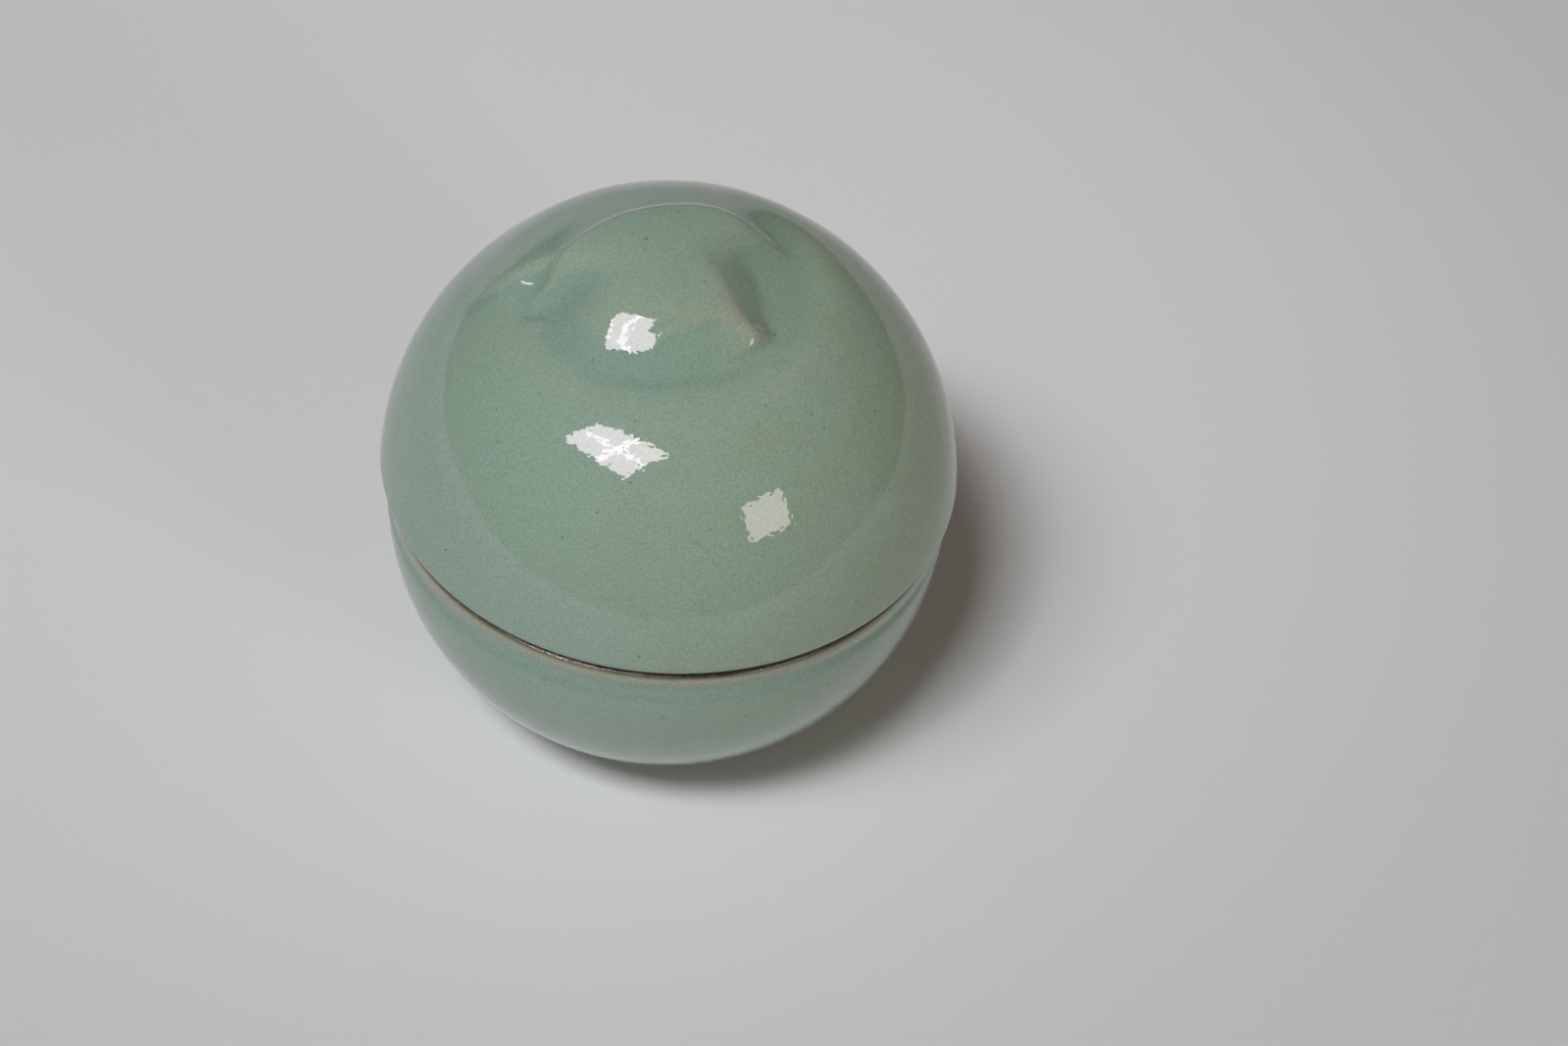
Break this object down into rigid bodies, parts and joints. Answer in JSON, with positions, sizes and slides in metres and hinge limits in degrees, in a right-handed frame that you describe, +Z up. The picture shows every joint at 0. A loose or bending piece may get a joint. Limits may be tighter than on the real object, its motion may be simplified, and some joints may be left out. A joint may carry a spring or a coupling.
{
  "type": "lidded rice bowl",
  "caption": "Round glazed stoneware rice bowl with a foot ring and an inner flange, and a domed lid with a twisted peak that lifts off.",
  "frame": {"origin": "centre of the bowl's foot ring, on the surface the bowl stands on", "axes": "+Z up, along the axis the bowl and lid were turned on; the folded tip of the lid's peak points 47 degrees from -Y towards +X"},
  "size_m": [0.1192, 0.1192, 0.1191],
  "materials": {
    "bowl_glaze": "glossy pale grey-green celadon glaze, thinner and browner at the rim, bare clay on the foot ring",
    "lid_glaze": "glossy pale grey-green celadon glaze with soft mottling, thinner on the peak's crest and the lip"
  },
  "bodies": {
    "bowl": {"bowl": "bowl_glaze"},
    "lid": {"lid": "lid_glaze"}
  },
  "joints": [
    {"name": "lid_lift", "type": "slide", "parent": "bowl", "child": "lid", "axis": [0, 0, 1], "range_m": [0, 0.12]}
  ]
}
